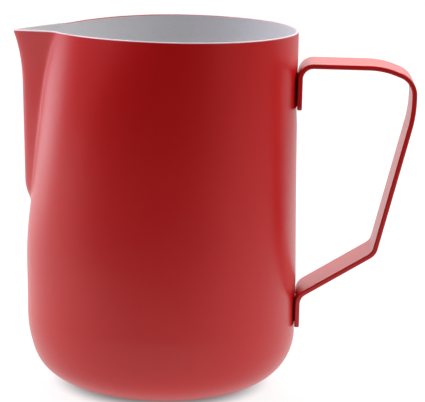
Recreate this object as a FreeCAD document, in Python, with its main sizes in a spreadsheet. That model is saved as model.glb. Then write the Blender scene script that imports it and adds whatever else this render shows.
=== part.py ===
import FreeCAD, Part
import Sketcher
import math
import os

from FreeCAD import Placement, Rotation, Vector

# Milk frothing pitcher: a one-piece pressed jug with a pinched spout, its inner lining, and a strap
# handle held by two spot welds at each end.
# Frame: origin at the centre of the foot, +Z up, +X towards the handle, -X towards the spout.
# Millimetres and degrees.

DIMENSIONS = {
    # jug, outside
    "jugHeight": 119.4,         # foot to the top of the rim bead
    "bellyRadius": 45.0,        # where the side wall starts
    "middleRadius": 43.7,       # half way up the side wall
    "mouthRadius": 43.05,       # at the rim
    "footCurveOut": 29.0,       # foot corner, measured along the radius
    "footCurveUp": 24.0,        # foot corner, measured along the height
    "footCurvePower": 2.73,     # 2 is an ellipse, more is squarer
    "wallThickness": 0.8,
    "liningThickness": 0.15,
    # spout
    "beakBottom": 60.7,         # lower end of the folded beak
    "beakRound": 6.5,           # height over which that end rounds off
    "beakReach": 46.3,          # ridge from the jug's axis, at the lower end
    "beakLean": 0.03,           # how far the ridge leans out for each millimetre of height
    "beakSlope": 1.44,          # side slope of the beak in plan, at the rim
    "beakSlopeLow": 1.17,       # the same at the beak's lower end
    "beakRidgeRadius": 3.0,
    "lipRidgeRadius": 1.5,
    "lipFlare": 2.6,            # extra reach of the pouring lip
    "lipFlareStart": 98.0,      # height where the flare starts
    "lipFlarePower": 2.5,
    "lipDrop": 2.2,             # how far the lip lies below the rim
    "lipDropPower": 2.6,
    "lipDropStart": 5.0,        # where the rim starts to drop, from the axis towards the handle
    "pinchDepth": 0.106,        # how far the cheeks are pressed in, as a share of the radius
    "pinchGrowth": 1.71,        # above 1, they deepen faster near the rim
    "pinchCurve": 60.8,         # radius of a pressed cheek in plan
    "pinchBlend": 5.2,          # softness of the edge between a cheek and the round wall, at the rim
    "pinchBlendLow": 1.14,      # the same at the beak's lower end
    "pinchAngle": 36.6,         # direction that a cheek faces at the rim, from the spout
    "pinchAngleLow": 2.0,       # the same at the beak's lower end
    "creaseBlend": 0.8,         # softness of the crease between cheek and beak
    "chinBulge": 1.15,          # fullness of the wall under the beak
    "chinHeight": 46.9,
    "chinSpread": 15.4,
    "chinTuck": 0.48,           # how much the foot corner is drawn in below that
    "chinTuckHeight": 14.0,
    "chinTuckSpread": 5.4,
    # handle strap: corners of its middle line, and the bends between its runs
    "strapWidth": 19.6,
    "strapThickness": 1.6,
    "strapEdgeRound": 0.45,
    "strapEndRound": 1.0,
    "upperTabFace": 43.1,       # back of the upper tab, from the jug's axis
    "upperTabBottom": 94.4,
    "upperTabTop": 108.95,
    "upperTabBend": 4.3,
    "runEndOut": 70.5,
    "runEndUp": 108.95,
    "runEndBend": 25.0,
    "shoulderOut": 80.9,
    "shoulderUp": 105.1,
    "shoulderBend": 7.0,
    "gripTopOut": 80.9,
    "gripTopUp": 93.9,
    "gripTopBend": 40.0,
    "gripFootOut": 69.86,
    "gripFootUp": 47.66,
    "gripFootBend": 4.4,
    "lowerTabFace": 44.45,      # back of the lower tab
    "lowerTabTop": 32.3,
    "lowerTabBend": 4.5,
    "lowerTabBottom": 21.7,
    # flats that the tabs press into the wall
    "tabGap": 0.03,             # between a tab and the wall, away from the welds
    "tabFlatBlend": 0.25,       # softness of a flat's side edges
    "tabFlatFade": 6.0,         # how far a flat runs out above and below
    "upperTabFlatTop": 105.0,
    "lowerTabFlatTop": 30.5,
    # spot welds
    "weldRadius": 2.0,
    "weldDepthInWall": 0.5,
    "weldDepthInStrap": 0.8,
    "upperWeldHeight": 100.8,   # middle of the pair
    "upperWeldSpacing": 6.5,
    "lowerWeldHeight": 26.3,
    "lowerWeldSpacing": 5.4,
    "weldMarkRadius": 2.5,      # dimple that the electrode leaves in the tab
    "weldMarkDepth": 0.12,
}

doc = FreeCAD.newDocument("frothing_pitcher")
sheet = doc.addObject("Spreadsheet::Sheet", "Dimensions")
for row, (alias, value) in enumerate(DIMENSIONS.items(), start=1):
    sheet.set(f"A{row}", alias)
    sheet.set(f"B{row}", str(value))
    sheet.setAlias(f"B{row}", alias)
doc.recompute()
size = {alias: float(sheet.get(alias)) for alias in DIMENSIONS}


# ---------------------------------------------------------------- shape of the jug's skin

wallTop = size["jugHeight"] - size["wallThickness"] / 2     # top of the wall, under the rim bead
cornerRows = 20
wallRows = 62
columns = 128
crowding = 0.72                                             # how much the columns crowd at the beak
beakReachAngle = math.radians(80)                           # the beak lies within this, from the spout
beakFadeAngles = (35, 75)                                   # degrees over which its sides run into the wall
beakFadeDepth = 20                                          # and how deep they go there
cheekFadeCosines = (-0.3, 0.35)                             # a cheek fades out between these, round its side
cheekStart = 0.12                                           # share of the beak's height over which the
                                                            # cheeks run out below it
tabReach = math.radians(140)                                # the tabs lie beyond this, from the spout


def smoothStep(x):
    x = min(max(x, 0.0), 1.0)
    return x * x * (3 - 2 * x)


def softMin(a, b, blend):
    return (a + b - math.hypot(a - b, blend)) / 2


def softMax(a, b, blend):
    return (a + b + math.hypot(a - b, blend)) / 2


def roundRadius(height):
    """Radius of the plain round wall, a curve through the belly, middle and mouth radii."""
    s = (height - size["footCurveUp"]) / (wallTop - size["footCurveUp"])
    return (size["bellyRadius"] * (1 - s) * (1 - 2 * s) + size["middleRadius"] * 4 * s * (1 - s)
            + size["mouthRadius"] * s * (2 * s - 1))


def chin(angle, height):
    """Fullness of the wall under the beak, and the tuck below it."""
    bulge = math.exp(-((height - size["chinHeight"]) / size["chinSpread"]) ** 2)
    tuck = math.exp(-((height - size["chinTuckHeight"]) / size["chinTuckSpread"]) ** 2)
    depth = size["chinBulge"] * bulge - size["chinTuck"] * tuck
    return depth * ((1 + math.cos(angle)) / 2) ** 3


def ridgeReach(height):
    """Distance of the beak's ridge from the axis."""
    flareHeight = wallTop - size["lipDrop"] - size["lipFlareStart"]
    flare = max(0.0, (height - size["lipFlareStart"]) / flareHeight)
    lean = size["beakLean"] * (height - size["beakBottom"])
    return size["beakReach"] + lean + size["lipFlare"] * flare ** size["lipFlarePower"]


def cheekRadius(angle, height, fold):
    """The round wall with its two cheeks pressed in beside the beak."""
    base = roundRadius(height) + chin(angle, height)
    rise = max(fold, 0.0)
    blend = size["pinchBlendLow"] + size["pinchBlend"] * rise
    distance = base * (1 - size["pinchDepth"] * rise ** size["pinchGrowth"]) + blend / 2 * (1 - rise)
    low = size["pinchAngleLow"]
    facing = math.radians(low + (size["pinchAngle"] - low) * rise)
    offset, turned = size["pinchCurve"] - distance, angle - facing
    reach = math.sqrt(size["pinchCurve"] ** 2 - (offset * math.sin(turned)) ** 2)
    cheek = reach - offset * math.cos(turned)
    last, first = cheekFadeCosines
    share = smoothStep((fold / cheekStart + 1) / 2) * smoothStep((math.cos(turned) - last) / (first - last))
    return base + (softMin(base, cheek, blend) - base) * share


def beakRadius(angle, height, fold, root):
    """A wedge with a rounded ridge, standing out from the wall at the spout."""
    rise = min(max((height - size["beakBottom"]) / size["beakRound"], 0.0), 1.0)
    grown = math.sqrt(1 - (1 - rise) ** 2)
    reach = root + (ridgeReach(height) - root) * grown
    ridge = size["beakRidgeRadius"]
    ridge += (size["lipRidgeRadius"] - ridge) * max(fold, 0.0) ** 2
    slope = size["beakSlopeLow"] + (size["beakSlope"] - size["beakSlopeLow"]) * max(fold, 0.0)
    apex = reach + slope * slope * ridge
    product = apex ** 2 - (slope * slope * ridge) ** 2
    across, along = math.sin(angle), math.cos(angle)
    spread = (along * apex) ** 2 - (along ** 2 - (slope * across) ** 2) * product
    start, end = beakFadeAngles
    fade = beakFadeDepth * smoothStep((math.degrees(angle) - start) / (end - start))
    return product / (along * apex + math.sqrt(spread)) - fade


def skinRadius(angle, height):
    """Outside radius of the jug's wall, at an angle from the spout."""
    angle = abs(angle)
    fold = (height - size["beakBottom"]) / (wallTop - size["beakBottom"])
    if fold < -cheekStart:
        return roundRadius(height) + chin(angle, height)
    wall = cheekRadius(angle, height, fold)
    if angle > beakReachAngle or fold < 0:
        return wall
    root = cheekRadius(0.0, height, fold) - 1.0
    return softMax(wall, beakRadius(angle, height, fold, root), size["creaseBlend"])


def rimHeight(angle):
    """Height of the wall's top edge, which dips towards the lip."""
    along = -skinRadius(angle, wallTop) * math.cos(angle)
    start = size["lipDropStart"]
    share = max(0.0, (start - along) / (start + ridgeReach(wallTop - size["lipDrop"])))
    return wallTop - size["lipDrop"] * share ** size["lipDropPower"]


def tabFlat(angle, height, radius):
    """The wall's radius where the two tabs of the handle have pressed it flat."""
    if abs(angle) < tabReach:
        return radius
    away, fade = -math.cos(angle), size["tabFlatFade"]
    for end in ("upper", "lower"):
        bottom, top = size[end + "TabBottom"], size[end + "TabFlatTop"]
        share = smoothStep((height - bottom + fade) / fade) * smoothStep((top + fade - height) / fade)
        face = (size[end + "TabFace"] - size["tabGap"]) / away
        flat = softMin(radius, face, size["tabFlatBlend"])
        radius += (flat - radius) * share
    return radius


def skinPoint(angle, level):
    """Point of the outside skin: level 0 to 1 is the foot corner, 1 to 2 the side wall."""
    if level <= 1:
        turn = math.pi / 2 * (1 - level)
        power = 2 / size["footCurvePower"]
        radius = size["bellyRadius"] - size["footCurveOut"] * (1 - math.cos(turn) ** power)
        height = size["footCurveUp"] * (1 - math.sin(turn) ** power)
        radius += chin(angle, height)
    else:
        height = size["footCurveUp"] + (level - 1) * (rimHeight(angle) - size["footCurveUp"])
        radius = skinRadius(angle, height)
    radius = tabFlat(angle, height, radius)
    return Vector(-radius * math.cos(angle), radius * math.sin(angle), height)


def skinFrame(angle, level):
    """Point, outward normal and upward tangent of the skin."""
    step = 1e-3
    low, high = max(level - step, 0.0), min(level + step, 2.0)
    up = (skinPoint(angle, high) - skinPoint(angle, low)).normalize()
    side = (skinPoint(angle + step, level) - skinPoint(angle - step, level)).normalize()
    return skinPoint(angle, level), up.cross(side).normalize(), up


def columnAngle(column):
    share = column / columns
    return 2 * math.pi * share - crowding * math.sin(2 * math.pi * share)


def wrapped(angle):
    return angle - 2 * math.pi if angle > math.pi else angle


levels = [row / cornerRows for row in range(cornerRows)]
levels += [1 + row / wallRows for row in range(wallRows + 1)]
frames = [[skinFrame(wrapped(columnAngle(column)), level) for level in levels]
          for column in range(columns)]


def closedSurface(poles, degree):
    """A smooth surface that closes round the jug, over one row of poles for each column."""
    rows = len(poles[0])
    surface = Part.BSplineSurface()
    surface.buildFromPolesMultsKnots(
        poles, [1] * (columns + 1), [degree + 1] + [1] * (rows - degree - 1) + [degree + 1],
        list(range(columns + 1)), list(range(rows - degree + 1)), True, False, 3, degree)
    return surface.toShape()


def inset(depth):
    """Poles of the skin moved inwards by a depth."""
    return [[point - normal * depth for point, normal, _ in column] for column in frames]


def disc(skin):
    """Flat face that closes the lower end of a skin."""
    edge = min(skin.Edges, key=lambda e: e.BoundBox.ZMax)
    return Part.Face(Part.Wire(edge))


def solidOf(faces):
    shell = Part.makeShell(faces)
    shell.sewShape()
    solid = Part.makeSolid(Part.Shell(shell.Faces))
    return solid if solid.Volume > 0 else solid.reversed()


# ---------------------------------------------------------------- spot welds

def weldCentres(end):
    height, spacing = size[end + "WeldHeight"], size[end + "WeldSpacing"]
    return [height - spacing / 2, height + spacing / 2]


def makeWelds(end):
    """Two nuggets that reach from the jug's wall into the tab of the strap."""
    nuggets = []
    for index, sign in enumerate("-+", start=1):
        nugget = doc.addObject("Part::Cylinder", f"{end}Nugget{index}")
        nugget.Placement = Placement(Vector(), Rotation(Vector(0, 1, 0), 90))
        nugget.setExpression("Radius", "Dimensions.weldRadius")
        nugget.setExpression("Height", "Dimensions.weldDepthInWall + Dimensions.weldDepthInStrap")
        nugget.setExpression("Placement.Base.x",
                             f"Dimensions.{end}TabFace - Dimensions.weldDepthInWall")
        nugget.setExpression(
            "Placement.Base.z",
            f"Dimensions.{end}WeldHeight {sign} Dimensions.{end}WeldSpacing / 2")
        nuggets.append(nugget)
    welds = doc.addObject("Part::Compound", f"{end}_tab_welds")
    welds.Links = nuggets
    welds.Label = f"{end}_tab_welds"
    return welds


upperWelds = makeWelds("upper")
lowerWelds = makeWelds("lower")
doc.recompute()


# ---------------------------------------------------------------- jug body and lining

def makeJug():
    outside = closedSurface(inset(0.0), 3)
    inside = closedSurface(inset(size["wallThickness"]), 3)
    rise = size["wallThickness"] * 2 / 3                    # makes the rim bead a half round
    bead = []
    for column in frames:
        point, normal, up = column[-1]
        inner = point - normal * size["wallThickness"]
        bead.append([point, point + up * rise, inner + up * rise, inner])
    wall = solidOf([outside, closedSurface(bead, 3), inside, disc(outside), disc(inside)])
    welded = wall.cut([upperWelds.Shape, lowerWelds.Shape])
    jug = doc.addObject("Part::Feature", "jug_body")
    jug.Label = "jug_body"
    jug.Shape = welded.Solids[0] if len(welded.Solids) == 1 else welded
    jug.Placement = Placement()
    return jug


def makeLining():
    depth = size["wallThickness"]
    outside = closedSurface(inset(depth), 3)
    inside = closedSurface(inset(depth + size["liningThickness"]), 3)
    edge = [[point - normal * depth, point - normal * (depth + size["liningThickness"])]
            for point, normal, _ in (column[-1] for column in frames)]
    lining = doc.addObject("Part::Feature", "nonstick_lining")
    lining.Label = "nonstick_lining"
    lining.Shape = solidOf([outside, closedSurface(edge, 1), inside, disc(outside), disc(inside)])
    lining.Placement = Placement()
    return lining


jugBody = makeJug()
lining = makeLining()


# ---------------------------------------------------------------- handle strap

def originPlane(body, role):
    return next(feature for feature in body.Origin.OriginFeatures if feature.Role == role)


def newSketch(body, name, role):
    sketch = body.newObject("Sketcher::SketchObject", name)
    sketch.AttachmentSupport = (originPlane(body, role), [""])
    sketch.MapMode = "FlatFace"
    return sketch


def strapCorners():
    """Corners of the strap's middle line: values to draw with, and what binds each to the sheet."""
    half = size["strapThickness"] / 2
    sheetHalf = " + Dimensions.strapThickness / 2"
    corners = [("upperTabFace", "upperTabBottom"), ("upperTabFace", "upperTabTop"),
               ("runEndOut", "runEndUp"), ("shoulderOut", "shoulderUp"), ("gripTopOut", "gripTopUp"),
               ("gripFootOut", "gripFootUp"), ("lowerTabFace", "lowerTabTop"),
               ("lowerTabFace", "lowerTabBottom")]
    result = []
    for out, up in corners:
        onTab = out.endswith("TabFace")
        point = Vector(size[out] + (half if onTab else 0), size[up], 0)
        result.append((point, f"Dimensions.{out}" + (sheetHalf if onTab else ""), f"Dimensions.{up}"))
    return result


def drawPath(sketch):
    """Straight runs joined by tangent bends, all in the jug's middle plane."""
    corners = strapCorners()
    bends = ["upperTabBend", "runEndBend", "shoulderBend", "gripTopBend", "gripFootBend",
             "lowerTabBend"]
    points = [point for point, _, _ in corners]
    starts, ends, arcs = [points[0]], [], []
    for before, corner, after, bend in zip(points, points[1:], points[2:], bends):
        back, ahead = (before - corner).normalize(), (after - corner).normalize()
        halfAngle = back.getAngle(ahead) / 2
        trim = size[bend] / math.tan(halfAngle)
        middle = (back + ahead).normalize() * (size[bend] / math.sin(halfAngle)) + corner
        first, last = corner + back * trim, corner + ahead * trim
        clockwise = back.cross(ahead).z > 0
        turns = [math.atan2(end.y - middle.y, end.x - middle.x) for end in (first, last)]
        low, high = reversed(turns) if clockwise else turns
        high += 2 * math.pi if high < low else 0
        ends.append(first)
        starts.append(last)
        circle = Part.Circle(middle, Vector(0, 0, 1), size[bend])
        arcs.append((Part.ArcOfCircle(circle, low, high), clockwise))
    ends.append(points[-1])
    lines = [sketch.addGeometry(Part.LineSegment(start, end)) for start, end in zip(starts, ends)]
    curves = [sketch.addGeometry(arc) for arc, _ in arcs]
    marks = [sketch.addGeometry(Part.Point(point), True) for point in points]
    for index, (curve, (_, clockwise)) in enumerate(zip(curves, arcs)):
        near, far = (2, 1) if clockwise else (1, 2)
        sketch.addConstraint(Sketcher.Constraint("Tangent", lines[index], 2, curve, near))
        sketch.addConstraint(Sketcher.Constraint("Tangent", curve, far, lines[index + 1], 1))
        name = sketch.addConstraint(Sketcher.Constraint("Radius", curve, size[bends[index]]))
        sketch.renameConstraint(name, bends[index])
        sketch.setExpression(f"Constraints.{bends[index]}", f"Dimensions.{bends[index]}")
    for index, (mark, (point, outBound, upBound)) in enumerate(zip(marks, corners)):
        for axis, bound, value in (("X", outBound, point.x), ("Y", upBound, point.y)):
            name = f"corner{index}{axis}"
            number = sketch.addConstraint(Sketcher.Constraint("Distance" + axis, -1, 1, mark, 1, value))
            sketch.renameConstraint(number, name)
            sketch.setExpression(f"Constraints.{name}", bound)
    sketch.addConstraint(Sketcher.Constraint("Coincident", lines[0], 1, marks[0], 1))
    sketch.addConstraint(Sketcher.Constraint("Coincident", lines[-1], 2, marks[-1], 1))
    for index, line in enumerate(lines):
        if index > 0:
            sketch.addConstraint(Sketcher.Constraint("PointOnObject", marks[index], 1, line))
        if index < len(lines) - 1:
            sketch.addConstraint(Sketcher.Constraint("PointOnObject", marks[index + 1], 1, line))


def keep(body, feature):
    """Makes a feature the body's tip, and stops if it has failed."""
    body.Tip = feature
    doc.recompute()
    if not feature.isValid() or feature.Shape.isNull():
        raise RuntimeError(f"{feature.Label} failed: {feature.getStatusString()}")
    return feature


def drawSection(sketch):
    """The strip's cross-section, flat on its back against the wall."""
    inner, outer = size["upperTabFace"], size["upperTabFace"] + size["strapThickness"]
    half = size["strapWidth"] / 2
    corners = [Vector(inner, -half, 0), Vector(outer, -half, 0), Vector(outer, half, 0),
               Vector(inner, half, 0)]
    for start, end in zip(corners, corners[1:] + corners[:1]):
        sketch.addGeometry(Part.LineSegment(start, end))
    for side in range(4):
        sketch.addConstraint(Sketcher.Constraint("Coincident", side, 2, (side + 1) % 4, 1))
    for side, way in ((0, "Horizontal"), (2, "Horizontal"), (3, "Vertical")):
        sketch.addConstraint(Sketcher.Constraint(way, side))
    sketch.addConstraint(Sketcher.Constraint("Symmetric", 1, 1, 1, 2, -1))
    bound = {"face": ("DistanceX", -1, 1, 3, 2, inner),
             "thickness": ("DistanceX", 0, 1, 0, 2, outer - inner),
             "width": ("DistanceY", 1, 1, 1, 2, 2 * half)}
    cells = {"face": "upperTabFace", "thickness": "strapThickness", "width": "strapWidth"}
    for name, constraint in bound.items():
        sketch.renameConstraint(sketch.addConstraint(Sketcher.Constraint(*constraint)), name)
        sketch.setExpression(f"Constraints.{name}", f"Dimensions.{cells[name]}")


def pocketWelds(body, end, name, radius, start, depth):
    """Two round pockets in a tab, cut outwards along +X from a plane at a given distance."""
    before = body.Tip.Shape.Volume
    sketch = newSketch(body, name + "Sketch", "YZ_Plane")
    sketch.setExpression(".AttachmentOffset.Base.z", start)
    for index, (height, sign) in enumerate(zip(weldCentres(end), "-+")):
        sketch.addGeometry(Part.Circle(Vector(0, height, 0), Vector(0, 0, 1), size[radius]))
        sketch.addConstraint(Sketcher.Constraint("PointOnObject", index, 3, -2))
        level = sketch.addConstraint(Sketcher.Constraint("DistanceY", -1, 1, index, 3, height))
        sketch.renameConstraint(level, f"height{index}")
        sketch.setExpression(f"Constraints.height{index}",
                             f"Dimensions.{end}WeldHeight {sign} Dimensions.{end}WeldSpacing / 2")
        across = sketch.addConstraint(Sketcher.Constraint("Radius", index, size[radius]))
        sketch.renameConstraint(across, f"radius{index}")
        sketch.setExpression(f"Constraints.radius{index}", f"Dimensions.{radius}")
    pocket = body.newObject("PartDesign::Pocket", name)
    pocket.Profile = sketch
    pocket.Type = "Length"
    pocket.Reversed = True
    pocket.setExpression("Length", depth)
    if not keep(body, pocket).Shape.Volume < before:
        raise RuntimeError(f"{name} cuts nothing")


def makeStrap():
    body = doc.addObject("PartDesign::Body", "handle_strap")
    body.Label = "handle_strap"
    path = newSketch(body, "StrapPath", "XZ_Plane")
    drawPath(path)
    section = newSketch(body, "StrapSection", "XY_Plane")
    section.setExpression(".AttachmentOffset.Base.z", "Dimensions.upperTabBottom")
    drawSection(section)
    doc.recompute()
    strip = body.newObject("PartDesign::AdditivePipe", "Strip")
    strip.Profile = section
    strip.Spine = path
    keep(body, strip)

    ends = body.newObject("PartDesign::Fillet", "EndCorners")
    thickness = size["strapThickness"]
    corners = [f"Edge{number}" for number, edge in enumerate(strip.Shape.Edges, start=1)
               if abs(edge.Length - thickness) < 1e-3 and edge.BoundBox.ZLength < 1e-3]
    ends.Base = (strip, corners)
    ends.setExpression("Radius", "Dimensions.strapEndRound")
    keep(body, ends)

    rounds = body.newObject("PartDesign::Fillet", "EdgeRounds")
    half = size["strapWidth"] / 2
    long = [f"Edge{number}" for number, edge in enumerate(ends.Shape.Edges, start=1)
            if edge.BoundBox.YLength < 1e-3 and abs(abs(edge.CenterOfMass.y) - half) < 1e-3]
    rounds.Base = (ends, long)
    rounds.setExpression("Radius", "Dimensions.strapEdgeRound")
    keep(body, rounds)

    for end in ("upper", "lower"):
        face = f"Dimensions.{end}TabFace"
        outer = face + " + Dimensions.strapThickness"
        pocketWelds(body, end, end + "WeldSeat", "weldRadius", face + " - Dimensions.weldDepthInStrap",
                    "2 * Dimensions.weldDepthInStrap")
        pocketWelds(body, end, end + "WeldMark", "weldMarkRadius",
                    outer + " - Dimensions.weldMarkDepth", "Dimensions.strapThickness")
    return body


handleStrap = makeStrap()


# ---------------------------------------------------------------- checks and export

doc.recompute()
for item in doc.Objects:
    if "Invalid" in item.State or "Error" in item.State:
        raise RuntimeError(f"{item.Label} failed: {item.State}")

os.makedirs("parts", exist_ok=True)
subParts = [jugBody, lining, handleStrap, upperWelds, lowerWelds]
for part in subParts:
    if part.Shape.isNull() or not part.Shape.isValid():
        raise RuntimeError(f"{part.Label} has no valid shape")
for part in subParts:
    part.Shape.exportStep(f"parts/{part.Label}.step")
    print(part.Label, len(part.Shape.Solids), "solids", round(part.Shape.Volume, 1), "mm3")
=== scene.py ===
import bpy
import bmesh
import math
from mathutils import Matrix, Vector


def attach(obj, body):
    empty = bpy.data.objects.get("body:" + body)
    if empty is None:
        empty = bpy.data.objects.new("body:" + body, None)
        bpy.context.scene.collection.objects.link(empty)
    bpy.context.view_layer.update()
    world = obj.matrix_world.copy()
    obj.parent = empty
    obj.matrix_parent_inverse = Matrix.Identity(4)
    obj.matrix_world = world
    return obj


# Studio scene of a milk frothing pitcher: red satin coat outside, grey non-stick lining inside.

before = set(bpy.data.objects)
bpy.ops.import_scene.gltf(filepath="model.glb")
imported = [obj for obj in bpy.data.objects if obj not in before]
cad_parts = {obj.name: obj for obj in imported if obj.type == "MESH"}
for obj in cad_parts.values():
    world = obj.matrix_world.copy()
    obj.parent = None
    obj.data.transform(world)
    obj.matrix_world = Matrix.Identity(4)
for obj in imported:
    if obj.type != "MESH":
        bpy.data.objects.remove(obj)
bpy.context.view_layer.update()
scene = bpy.context.scene
print("frame loaded:", sorted(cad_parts))


# camera and studio

cameraSetup = {
    "place": (0.03919, -0.61788, 0.19121),
    "yaw": -0.0374,         # from +Y, towards -X
    "pitch": 0.2064,        # downwards
    "roll": 0.0234,
    "lens": 160.86,
    "sensor": 36.0,
    "clip": (0.01, 20.0),
}


def makeCamera(setup):
    yaw, pitch, roll = setup["yaw"], setup["pitch"], setup["roll"]
    ahead = Vector((math.sin(yaw) * math.cos(pitch), math.cos(yaw) * math.cos(pitch), -math.sin(pitch)))
    level = Vector((math.cos(yaw), -math.sin(yaw), 0.0))
    above = level.cross(ahead)
    right = level * math.cos(roll) + above * math.sin(roll)
    up = above * math.cos(roll) - level * math.sin(roll)
    data = bpy.data.cameras.new("studioCamera")
    data.lens = setup["lens"]
    data.sensor_width = setup["sensor"]
    data.clip_start, data.clip_end = setup["clip"]
    camera = bpy.data.objects.new("studioCamera", data)
    turn = Matrix((right, up, -ahead)).transposed().to_4x4()
    camera.matrix_world = Matrix.Translation(setup["place"]) @ turn
    scene.collection.objects.link(camera)
    scene.camera = camera


coolTint = (1.0, 0.96, 1.09)    # most of the lamps on the left are a little colder

# every lamp is a softbox: where it hangs, where it points, its size, its power and maybe a tint
softboxes = {
    "leftHighBox": {"place": (-0.70, 0.0, 0.75), "aim": (0, 0, 0.05), "size": (0.8, 0.6), "power": 8.5,
                    "tint": coolTint},
    "leftSideBox": {"place": (-0.75, 0.10, 0.30), "aim": (0, 0, 0.05), "size": (0.9, 0.8), "power": 0.28},
    "leftStripBox": {"place": (-0.45, 0.30, 0.10), "aim": (0, 0, 0.06), "size": (0.25, 0.5), "power": 0.41,
                     "tint": coolTint},
    "leftBackBox": {"place": (-1.0, 0.90, 0.35), "aim": (0, 0, 0.06), "size": (1.0, 0.8), "power": 1.2,
                    "tint": coolTint},
    "rightHighBox": {"place": (0.70, 0.0, 0.75), "aim": (0, 0, 0.05), "size": (0.8, 0.6), "power": 6.0},
    "rightFrontBox": {"place": (0.65, -0.45, 0.45), "aim": (0, 0, 0.05), "size": (0.5, 0.6), "power": 1.05},
    "rightBackBox": {"place": (1.0, 0.90, 0.35), "aim": (0, 0, 0.06), "size": (1.0, 0.8), "power": 2.4},
    "frontTopBox": {"place": (0, -0.60, 0.90), "aim": (0, 0, 0), "size": (0.9, 0.6), "power": 0.5},
    "backTopBox": {"place": (0, 0.80, 0.90), "aim": (0, 0, 0), "size": (1.4, 0.6), "power": 14.6},
    "backWallBox": {"place": (0, 1.50, 0.50), "aim": (0, 0, 0.06), "size": (2.6, 1.0), "power": 9.6},
}


def makeSoftbox(name, setup):
    data = bpy.data.lights.new(name, "AREA")
    data.shape = "RECTANGLE"
    data.size, data.size_y = setup["size"]
    data.energy = setup["power"]
    data.color = setup.get("tint", (1, 1, 1))
    lamp = bpy.data.objects.new(name, data)
    lamp.location = setup["place"]
    lamp.rotation_euler = (Vector(setup["aim"]) - lamp.location).to_track_quat("-Z", "Y").to_euler()
    scene.collection.objects.link(lamp)


roomAir = {"seen": 0.85, "lit": 0.002}      # the room behind the paper looks pale, but hardly lights the jug


def makeWorld(setup):
    world = bpy.data.worlds.new("studioAir")
    world.use_nodes = True
    tree = world.node_tree
    background = tree.nodes["Background"]
    background.inputs["Color"].default_value = (1, 1, 1, 1)
    ray = tree.nodes.new("ShaderNodeLightPath")
    strength = tree.nodes.new("ShaderNodeMapRange")
    strength.inputs["To Min"].default_value = setup["lit"]
    strength.inputs["To Max"].default_value = setup["seen"]
    tree.links.new(ray.outputs["Is Camera Ray"], strength.inputs["Value"])
    tree.links.new(strength.outputs["Result"], background.inputs["Strength"])
    scene.world = world


makeCamera(cameraSetup)
for lampName, lampSetup in softboxes.items():
    makeSoftbox(lampName, lampSetup)
makeWorld(roomAir)
scene.view_settings.view_transform = "Standard"
print("camera and lamps placed")


# materials: small helpers first

def newMaterial(name):
    material = bpy.data.materials.new(name)
    material.use_nodes = True
    tree = material.node_tree
    return material, tree, tree.nodes["Principled BSDF"]


def feed(tree, socket, value):
    # a socket takes either another socket or a plain value
    if isinstance(value, bpy.types.NodeSocket):
        tree.links.new(value, socket)
    else:
        socket.default_value = value


def addNode(tree, kind, settings=None, **inputs):
    node = tree.nodes.new("ShaderNode" + kind)
    for key, value in (settings or {}).items():
        setattr(node, key, value)
    for key, value in inputs.items():
        feed(tree, node.inputs[key.replace("_", " ")], value)
    return node


def addMath(tree, operation, first, second):
    node = addNode(tree, "Math", {"operation": operation})
    feed(tree, node.inputs[0], first)
    feed(tree, node.inputs[1], second)
    return node.outputs[0]


def addCoordinates(tree):
    return addNode(tree, "TexCoord").outputs["Object"]


def addNoise(tree, place, scale, detail=2.0, roughness=0.5):
    return addNode(tree, "TexNoise", Vector=place, Scale=scale, Detail=detail,
                   Roughness=roughness).outputs["Fac"]


def addSpread(tree, value, low, high):
    # turns a 0 to 1 pattern into a range
    return addNode(tree, "MapRange", Value=value, To_Min=low, To_Max=high).outputs["Result"]


def addFade(tree, value, start, end):
    # 0 at the start, 1 at the end, smooth between
    return addNode(tree, "MapRange", {"interpolation_type": "SMOOTHSTEP"}, Value=value,
                   From_Min=start, From_Max=end).outputs["Result"]


def addBlend(tree, factor, first, second):
    blend = addNode(tree, "Mix", {"data_type": "RGBA"})
    # a Mix node has a set of sockets for each data type: these are the factor and the two colours
    for index, value in ((0, factor), (6, first), (7, second)):
        feed(tree, blend.inputs[index], value)
    return blend.outputs[2]


def addBump(tree, place, layer, under=None):
    height = addNoise(tree, place, layer["scale"])
    bump = addNode(tree, "Bump", Height=height, Strength=layer["strength"], Distance=layer["depth"])
    if under:
        tree.links.new(under, bump.inputs["Normal"])
    return bump.outputs["Normal"]


# patterns are counted per metre

floorPaper = {
    "tone": (0.15, 0.15, 0.15, 1),
    "roughness": 0.9,
    "shine": 0.1,
    "grain": {"scale": 900.0, "strength": 0.1, "depth": 0.0002},
    "paintedGlow": (0.2, 0.86),            # the paper glows with painted light, as if lit from below, but less in front of the jug, on its right and under its foot, where the dip is a painted shadow
    "frontFade": (-0.22, -0.12),    # but less in front of the jug,
    "sideFade": (0.45, 0.13),       # on its right
    "paintedFootShade": (0.026, 0.038),     # and under its foot
}


def makePaper(setup):
    material, tree, shader = newMaterial("studioPaper")
    place = addCoordinates(tree)
    shader.inputs["Base Color"].default_value = setup["tone"]
    shader.inputs["Roughness"].default_value = setup["roughness"]
    shader.inputs["Specular IOR Level"].default_value = setup["shine"]
    shader.inputs["Emission Color"].default_value = (1, 1, 1, 1)
    parts = addNode(tree, "SeparateXYZ", Vector=place).outputs
    away = addNode(tree, "VectorMath", {"operation": "LENGTH"}, Vector=place).outputs["Value"]
    share = addFade(tree, parts["Y"], *setup["frontFade"])
    for value, fade in ((parts["X"], setup["sideFade"]), (away, setup["paintedFootShade"])):
        share = addMath(tree, "MULTIPLY", share, addFade(tree, value, *fade))
    # painted light: the paper's emission glow, dimmer in front, on the right and as a painted shadow under
    # the foot
    feed(tree, shader.inputs["Emission Strength"], addSpread(tree, share, *setup["paintedGlow"]))
    feed(tree, shader.inputs["Normal"], addBump(tree, place, setup["grain"]))
    return material


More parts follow.
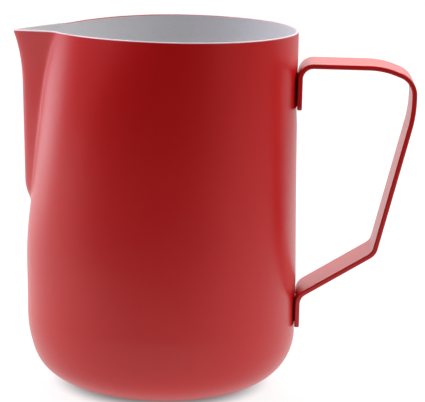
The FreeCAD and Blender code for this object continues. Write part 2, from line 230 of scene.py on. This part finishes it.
redCoat = {
    "colour": (0.565, 0.0066, 0.0070, 1),
    "shade": (0.525, 0.0060, 0.0065, 1),
    "clouds": {"scale": 28.0, "detail": 3.0},
    "roughness": (0.29, 0.35),
    "smears": {"scale": 420.0, "detail": 4.0, "roughness": 0.6},
    "ior": 1.5,
    "peel": {"scale": 520.0, "strength": 0.05, "depth": 0.0001},
    "grain": {"scale": 5200.0, "strength": 0.05, "depth": 0.00002},
    "rim": {
        "top": 0.1194,              # height of the jug's top edge, and of the lip where it has dipped
        "lip": 0.1172,
        "span": (0.005, -0.0503),   # the dip starts and ends here, along X
        "power": 2.6,
        "band": (0.0004, 0.0003),   # the painted highlight fades out between these depths
        # pale pink: a painted highlight on the rounded top edge
        "colour": (0.66, 0.50, 0.52, 1),
    },
    "dust": {"scale": 120.0, "size": 0.018, "colour": (0.61, 0.05, 0.05, 1)},
}


def addRimHighlightMask(tree, place, rim):
    # 1 on the jug's top edge, which dips towards the lip: a painted highlight along the rounded edge
    parts = addNode(tree, "SeparateXYZ", Vector=place).outputs
    start, end = rim["span"]
    along = addNode(tree, "MapRange", Value=parts["X"], From_Min=start, From_Max=end).outputs["Result"]
    edge = addSpread(tree, addMath(tree, "POWER", along, rim["power"]), rim["top"], rim["lip"])
    return addFade(tree, addMath(tree, "SUBTRACT", edge, parts["Z"]), *rim["band"])


def makeRedCoat(setup):
    material, tree, shader = newMaterial("satinRedCoat")
    place = addCoordinates(tree)
    rim, dust = setup["rim"], setup["dust"]
    colour = addBlend(tree, addNoise(tree, place, **setup["clouds"]), setup["shade"], setup["colour"])
    cells = addNode(tree, "TexVoronoi", Vector=place, Scale=dust["scale"]).outputs["Distance"]
    colour = addBlend(tree, addMath(tree, "LESS_THAN", cells, dust["size"]), colour, dust["colour"])
    # painted highlight: a pale pink line along the top edge
    colour = addBlend(tree, addRimHighlightMask(tree, place, rim), colour, rim["colour"])
    feed(tree, shader.inputs["Base Color"], colour)
    smears = addNoise(tree, place, **setup["smears"])
    feed(tree, shader.inputs["Roughness"], addSpread(tree, smears, *setup["roughness"]))
    shader.inputs["IOR"].default_value = setup["ior"]
    peel = addBump(tree, place, setup["peel"])
    feed(tree, shader.inputs["Normal"], addBump(tree, place, setup["grain"], peel))
    return material


greyLining = {
    "colour": (0.68, 0.68, 0.69, 1),
    "shade": (0.64, 0.64, 0.65, 1),
    "clouds": {"scale": 45.0, "detail": 4.0, "roughness": 0.6},
    "fleck": (0.58, 0.58, 0.59, 1),
    "flecks": {"scale": 2600.0, "detail": 1.0},
    "fleckShare": (-0.9, 1.1),
    "roughness": (0.46, 0.58),
    "smears": {"scale": 900.0, "detail": 3.0},
    "grain": {"scale": 2600.0, "strength": 0.05, "depth": 0.00003},
}


def makeLining(setup):
    material, tree, shader = newMaterial("nonStickGrey")
    place = addCoordinates(tree)
    colour = addBlend(tree, addNoise(tree, place, **setup["clouds"]), setup["shade"], setup["colour"])
    flecks = addSpread(tree, addNoise(tree, place, **setup["flecks"]), *setup["fleckShare"])
    feed(tree, shader.inputs["Base Color"], addBlend(tree, flecks, colour, setup["fleck"]))
    smears = addNoise(tree, place, **setup["smears"])
    feed(tree, shader.inputs["Roughness"], addSpread(tree, smears, *setup["roughness"]))
    feed(tree, shader.inputs["Normal"], addBump(tree, place, setup["grain"]))
    return material


weldSteel = {
    "bright": (0.30, 0.27, 0.25, 1),
    "blued": (0.12, 0.11, 0.12, 1),
    "roughness": (0.38, 0.55),
    "stain": {"scale": 600.0, "detail": 3.0},
}


def makeWeldSteel(setup):
    material, tree, shader = newMaterial("weldSteel")
    stain = addNoise(tree, addCoordinates(tree), **setup["stain"])
    feed(tree, shader.inputs["Base Color"], addBlend(tree, stain, setup["blued"], setup["bright"]))
    feed(tree, shader.inputs["Roughness"], addSpread(tree, stain, *setup["roughness"]))
    shader.inputs["Metallic"].default_value = 1.0
    return material


coat, lining, steel = makeRedCoat(redCoat), makeLining(greyLining), makeWeldSteel(weldSteel)
nodeMaterials = {
    "jug_body": coat,
    "handle_strap": coat,
    "nonstick_lining": lining,
    "upper_tab_welds": steel,
    "lower_tab_welds": steel,
}
for nodeName, nodeMaterial in nodeMaterials.items():
    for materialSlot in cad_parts[nodeName].material_slots:
        materialSlot.material = nodeMaterial
print("materials made")


# the coat closes the slit behind each tab of the handle, between its welds

seamCoat = {
    "halfWidth": 0.0026,
    "overlap": (0.0004, 0.0001),    # into the wall, into the tab
    "soften": 0.00008,
    "softenSteps": 2,
    "upper": {"face": 0.0431, "bottom": 0.0947, "top": 0.1040},
    "lower": {"face": 0.04445, "bottom": 0.0220, "top": 0.0306},
}


def makeSeam(end, setup):
    face, bottom, top = (setup[end][key] for key in ("face", "bottom", "top"))
    inside, outside = face - setup["overlap"][0], face + setup["overlap"][1]
    size = (outside - inside, 2 * setup["halfWidth"], top - bottom)
    shape = bmesh.new()
    bmesh.ops.create_cube(shape, size=1.0)
    bmesh.ops.scale(shape, vec=size, verts=shape.verts)
    middle = ((inside + outside) / 2, 0, (top + bottom) / 2)
    bmesh.ops.translate(shape, vec=middle, verts=shape.verts)
    bmesh.ops.bevel(shape, geom=shape.edges[:], offset=setup["soften"],
                    segments=setup["softenSteps"], profile=0.5, affect="EDGES", material=-1)
    bmesh.ops.recalc_face_normals(shape, faces=shape.faces)
    mesh = bpy.data.meshes.new(end + "_tab_seam")
    shape.to_mesh(mesh)
    shape.free()
    mesh.shade_smooth()
    seam = bpy.data.objects.new(end + "_tab_seam", mesh)
    mesh.materials.append(coat)
    scene.collection.objects.link(seam)
    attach(seam, "root")


for tabEnd in ("upper", "lower"):
    makeSeam(tabEnd, seamCoat)
print("seams closed")


# floor

floorSetup = {"front": -0.333, "back": 3.0, "half": 1.5}


def makeFloor(setup):
    mesh = bpy.data.meshes.new("studioFloor")
    shape = bmesh.new()
    corners = [shape.verts.new((-setup["half"], setup["front"], 0)),
               shape.verts.new((setup["half"], setup["front"], 0))]
    edge = shape.edges.new(corners)
    result = bmesh.ops.extrude_edge_only(shape, edges=[edge])
    moved = [item for item in result["geom"] if isinstance(item, bmesh.types.BMVert)]
    bmesh.ops.translate(shape, vec=(0, setup["back"] - setup["front"], 0), verts=moved)
    shape.to_mesh(mesh)
    shape.free()
    floor = bpy.data.objects.new("studioFloor", mesh)
    mesh.materials.append(makePaper(floorPaper))
    scene.collection.objects.link(floor)


makeFloor(floorSetup)
print("floor laid")
